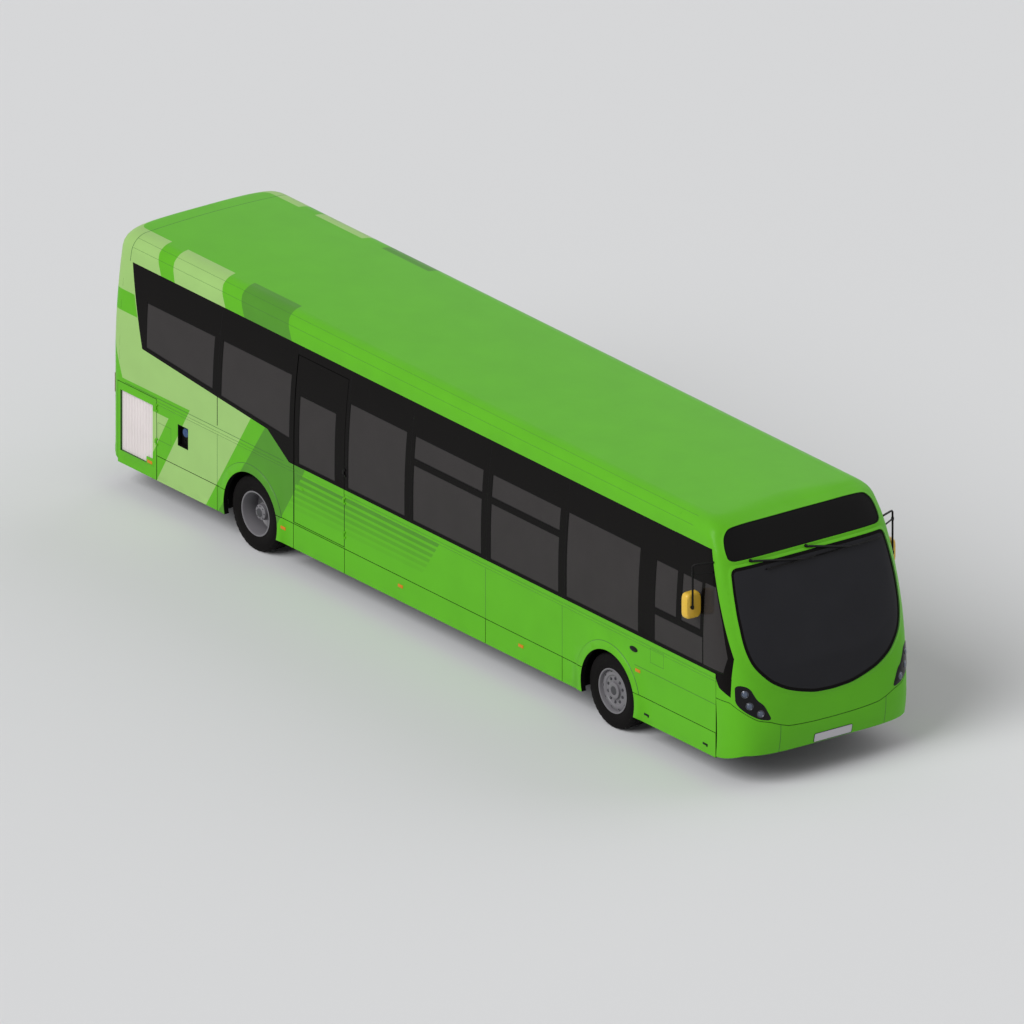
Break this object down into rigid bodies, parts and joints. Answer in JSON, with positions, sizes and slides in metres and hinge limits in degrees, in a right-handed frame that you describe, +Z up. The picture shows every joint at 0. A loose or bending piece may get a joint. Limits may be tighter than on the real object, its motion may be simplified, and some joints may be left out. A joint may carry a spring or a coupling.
{
  "type": "single-deck low-floor city bus",
  "caption": "Single-deck low-floor city bus with raked rounded front, steered front wheels, twin rear wheels, inward-turning entrance doors, emergency door and blank destination display",
  "frame": {"origin": "On the ground, midway along the length and the width", "axes": "+X forward, +Y to the left (kerb) side, +Z up"},
  "size_m": [11.6976, 2.861, 2.975],
  "materials": {
    "frame_steel": "satin",
    "floor_vinyl": "matte",
    "arch_black": "matte",
    "green_paint": "gloss",
    "dark_glass": "tinted",
    "grille_white": "satin",
    "black_frame": "satin",
    "lamp_black": "gloss",
    "lamp_red": "gloss",
    "mirror_yellow": "satin",
    "trim_black": "satin",
    "plate_white": "matte",
    "engine_iron": "rough",
    "dash_grey": "matte",
    "seat_fabric": "woven",
    "screen_grey": "matte",
    "rail_yellow": "satin",
    "axle_iron": "rough",
    "rim_steel": "satin",
    "tyre_rubber": "matte"
  },
  "bodies": {
    "bus_body": {"chassis_frame": "frame_steel", "floor": "floor_vinyl", "wheel_boxes": "arch_black", "side_wall_right": "green_paint", "side_wall_left": "green_paint", "skirts": "green_paint", "side_windows_right": "dark_glass", "side_windows_left": "dark_glass", "roof": "green_paint", "front_dome": "green_paint", "front_panel": "green_paint", "front_cowl": "green_paint", "front_bumper": "green_paint", "windscreen": "dark_glass", "quarter_windows": "dark_glass", "destination_glass": "dark_glass", "destination_box": "trim_black", "rear_panel": "green_paint", "rear_bumper": "green_paint", "rear_window": "dark_glass", "headlights": "lamp_black", "tail_lights": "lamp_red", "mirror_arms": "trim_black", "mirror_heads": "mirror_yellow", "wipers": "trim_black", "number_plates": "plate_white", "filler_box": "trim_black", "engine": "engine_iron", "dashboard": "dash_grey", "steering_wheel": "trim_black", "driver_seat": "seat_fabric", "cab_screen": "screen_grey", "passenger_seats": "seat_fabric", "handrails": "rail_yellow", "front_axle": "axle_iron", "rear_axle": "axle_iron"},
    "emergency_door": {"emergency_door": "green_paint", "emergency_door_glass": "dark_glass"},
    "radiator_door": {"radiator_door": "grille_white"},
    "engine_cover": {"engine_cover": "green_paint"},
    "entrance_leaf_front": {"entrance_door_front": "black_frame", "entrance_glass_front": "dark_glass"},
    "entrance_leaf_rear": {"entrance_door_rear": "black_frame", "entrance_glass_rear": "dark_glass"},
    "knuckle_left": {"knuckle_left": "axle_iron"},
    "knuckle_right": {"knuckle_right": "axle_iron"},
    "tie_rod": {"tie_rod": "axle_iron"},
    "wheel_front_left": {"tyre_front_left": "tyre_rubber", "rim_front_left": "rim_steel"},
    "wheel_front_right": {"tyre_front_right": "tyre_rubber", "rim_front_right": "rim_steel"},
    "wheels_rear_left": {"tyres_rear_left": "tyre_rubber", "rims_rear_left": "rim_steel"},
    "wheels_rear_right": {"tyres_rear_right": "tyre_rubber", "rims_rear_right": "rim_steel"}
  },
  "joints": [
    {"name": "emergency_door_hinge", "type": "hinge", "parent": "bus_body", "child": "emergency_door", "pos_m": [-1.486, -1.228, 1.15], "axis": [0, 0, 1], "range_deg": [0, 95]},
    {"name": "radiator_door_hinge", "type": "hinge", "parent": "bus_body", "child": "radiator_door", "pos_m": [-4.923, -1.228, 0.95], "axis": [0, 0, 1], "range_deg": [0, 95]},
    {"name": "engine_cover_hinge", "type": "hinge", "parent": "bus_body", "child": "engine_cover", "pos_m": [-5.842, 0, 1.242], "axis": [0, 1, 0], "range_deg": [0, 75]},
    {"name": "entrance_hinge_front", "type": "hinge", "parent": "bus_body", "child": "entrance_leaf_front", "pos_m": [5.022, 1.14, 1.376], "axis": [0, 0, 1], "range_deg": [0, 88]},
    {"name": "entrance_hinge_rear", "type": "hinge", "parent": "bus_body", "child": "entrance_leaf_rear", "pos_m": [3.928, 1.14, 1.376], "axis": [0, 0, 1], "range_deg": [-88, 0]},
    {"name": "steer_left", "type": "hinge", "parent": "bus_body", "child": "knuckle_left", "pos_m": [3.34, 0.837, 0.433], "axis": [0, 0, 1], "range_deg": [-40, 40]},
    {"name": "steer_right", "type": "hinge", "parent": "bus_body", "child": "knuckle_right", "pos_m": [3.34, -0.837, 0.433], "axis": [0, 0, 1], "range_deg": [-40, 40]},
    {"name": "tie_rod_eye", "type": "hinge", "parent": "knuckle_left", "child": "tie_rod", "pos_m": [3.16, 0.837, 0.195], "axis": [0, 0, 1], "range_deg": [-40, 40]},
    {"name": "wheel_spin_front_left", "type": "hinge", "parent": "knuckle_left", "child": "wheel_front_left", "pos_m": [3.34, 1.0345, 0.433], "axis": [0, 1, 0], "continuous": true},
    {"name": "wheel_spin_front_right", "type": "hinge", "parent": "knuckle_right", "child": "wheel_front_right", "pos_m": [3.34, -1.0345, 0.433], "axis": [0, 1, 0], "continuous": true},
    {"name": "wheel_spin_rear_left", "type": "hinge", "parent": "bus_body", "child": "wheels_rear_left", "pos_m": [-3.2, 0.8845, 0.433], "axis": [0, 1, 0], "continuous": true},
    {"name": "wheel_spin_rear_right", "type": "hinge", "parent": "bus_body", "child": "wheels_rear_right", "pos_m": [-3.2, -0.8845, 0.433], "axis": [0, 1, 0], "continuous": true}
  ],
  "couplings": [
    {"joint": "steer_right", "follows": "steer_left", "ratio": 1},
    {"joint": "tie_rod_eye", "follows": "steer_left", "ratio": -1}
  ]
}
